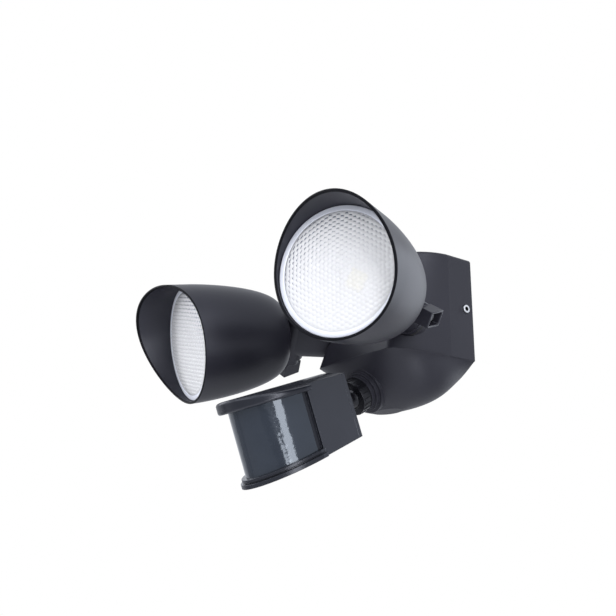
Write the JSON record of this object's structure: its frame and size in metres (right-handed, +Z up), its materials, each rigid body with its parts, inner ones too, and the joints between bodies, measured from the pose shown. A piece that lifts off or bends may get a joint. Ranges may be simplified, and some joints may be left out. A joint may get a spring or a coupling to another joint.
{
  "type": "outdoor security wall light",
  "caption": "Outdoor wall light: hooded lamp heads on swivelling arms, with a motion sensor on a ball joint below a box-shaped base.",
  "frame": {"origin": "middle of the two wall bolt slots, on the wall plane", "axes": "+Y into the wall, -Y out of it, +X to the right of a person facing the light, +Z up"},
  "size_m": [0.2841, 0.2094, 0.1925],
  "materials": {
    "charcoal_plastic": "fine satin texture",
    "black_steel": "satin black",
    "rubber": "matt",
    "steel": "bright zinc",
    "driver_case": "matt white",
    "ivory_plastic": "matt",
    "sensor_window": "glossy, smoke grey",
    "circuit_board": "solder mask",
    "clear_lens": "clear, dimpled",
    "white_reflector": "satin white",
    "white_board": "white solder mask on aluminium",
    "led_phosphor": "yellow phosphor",
    "aluminium": "plain"
  },
  "bodies": {
    "base": {"base_housing": "charcoal_plastic", "wall_plate": "black_steel", "rear_gasket": "rubber", "cover_screws": "steel", "led_driver": "driver_case", "terminal_block": "ivory_plastic", "cable_grommet": "rubber", "sensor_ring_nut": "charcoal_plastic", "arm_seal_left": "rubber", "arm_seal_right": "rubber"},
    "left_arm": {"arm_left": "charcoal_plastic", "arm_nut_left": "steel"},
    "right_arm": {"arm_right": "charcoal_plastic", "arm_nut_right": "steel"},
    "left_head": {"head_shell_left": "charcoal_plastic", "lens_left": "clear_lens", "lens_gasket_left": "rubber", "reflector_left": "white_reflector", "led_board_left": "white_board", "led_chip_left": "led_phosphor", "heat_spreader_left": "aluminium", "pivot_bolt_left": "steel", "pivot_nut_left": "steel"},
    "right_head": {"head_shell_right": "charcoal_plastic", "lens_right": "clear_lens", "lens_gasket_right": "rubber", "reflector_right": "white_reflector", "led_board_right": "white_board", "led_chip_right": "led_phosphor", "heat_spreader_right": "aluminium", "pivot_bolt_right": "steel", "pivot_nut_right": "steel"},
    "sensor_neck": {"sensor_ball": "charcoal_plastic"},
    "sensor": {"sensor_case": "charcoal_plastic", "sensor_back": "charcoal_plastic", "sensor_window": "sensor_window", "sensor_screws": "steel", "sensor_board": "circuit_board", "pyro_sensor": "steel", "sensor_pin": "steel"},
    "time_knob": {"time_knob": "charcoal_plastic"},
    "range_knob": {"range_knob": "charcoal_plastic"}
  },
  "joints": [
    {"name": "left_arm_swivel", "type": "hinge", "parent": "base", "child": "left_arm", "pos_m": [-0.0611, -0.093, 0.0072], "axis": [-0.5273, -0.8373, 0.1444], "range_deg": [-45, 45]},
    {"name": "right_arm_swivel", "type": "hinge", "parent": "base", "child": "right_arm", "pos_m": [0.0611, -0.093, 0.0072], "axis": [0.5273, -0.8373, 0.1444], "range_deg": [-45, 45]},
    {"name": "left_head_tilt", "type": "hinge", "parent": "left_arm", "child": "left_head", "pos_m": [-0.0611, -0.093, 0.0072], "axis": [-0.6722, 0.3072, -0.6736], "range_deg": [0, 60]},
    {"name": "right_head_tilt", "type": "hinge", "parent": "right_arm", "child": "right_head", "pos_m": [0.0611, -0.093, 0.0072], "axis": [-0.7523, -0.3811, 0.5375], "range_deg": [-5, 60]},
    {"name": "sensor_pan", "type": "hinge", "parent": "base", "child": "sensor_neck", "pos_m": [0, -0.079, -0.053], "axis": [0, -0.5237, 0.8519], "range_deg": [-20, 20]},
    {"name": "sensor_tilt", "type": "hinge", "parent": "sensor_neck", "child": "sensor", "pos_m": [0, -0.0988, -0.06517], "axis": [1, 0, 0], "range_deg": [-3, 35]},
    {"name": "time_knob_turn", "type": "hinge", "parent": "sensor", "child": "time_knob", "pos_m": [-0.012, -0.11439, -0.09873], "axis": [0, 0.4695, -0.8829], "range_deg": [-135, 135]},
    {"name": "range_knob_turn", "type": "hinge", "parent": "sensor", "child": "range_knob", "pos_m": [0.012, -0.11439, -0.09873], "axis": [0, 0.4695, -0.8829], "range_deg": [-135, 135]}
  ]
}
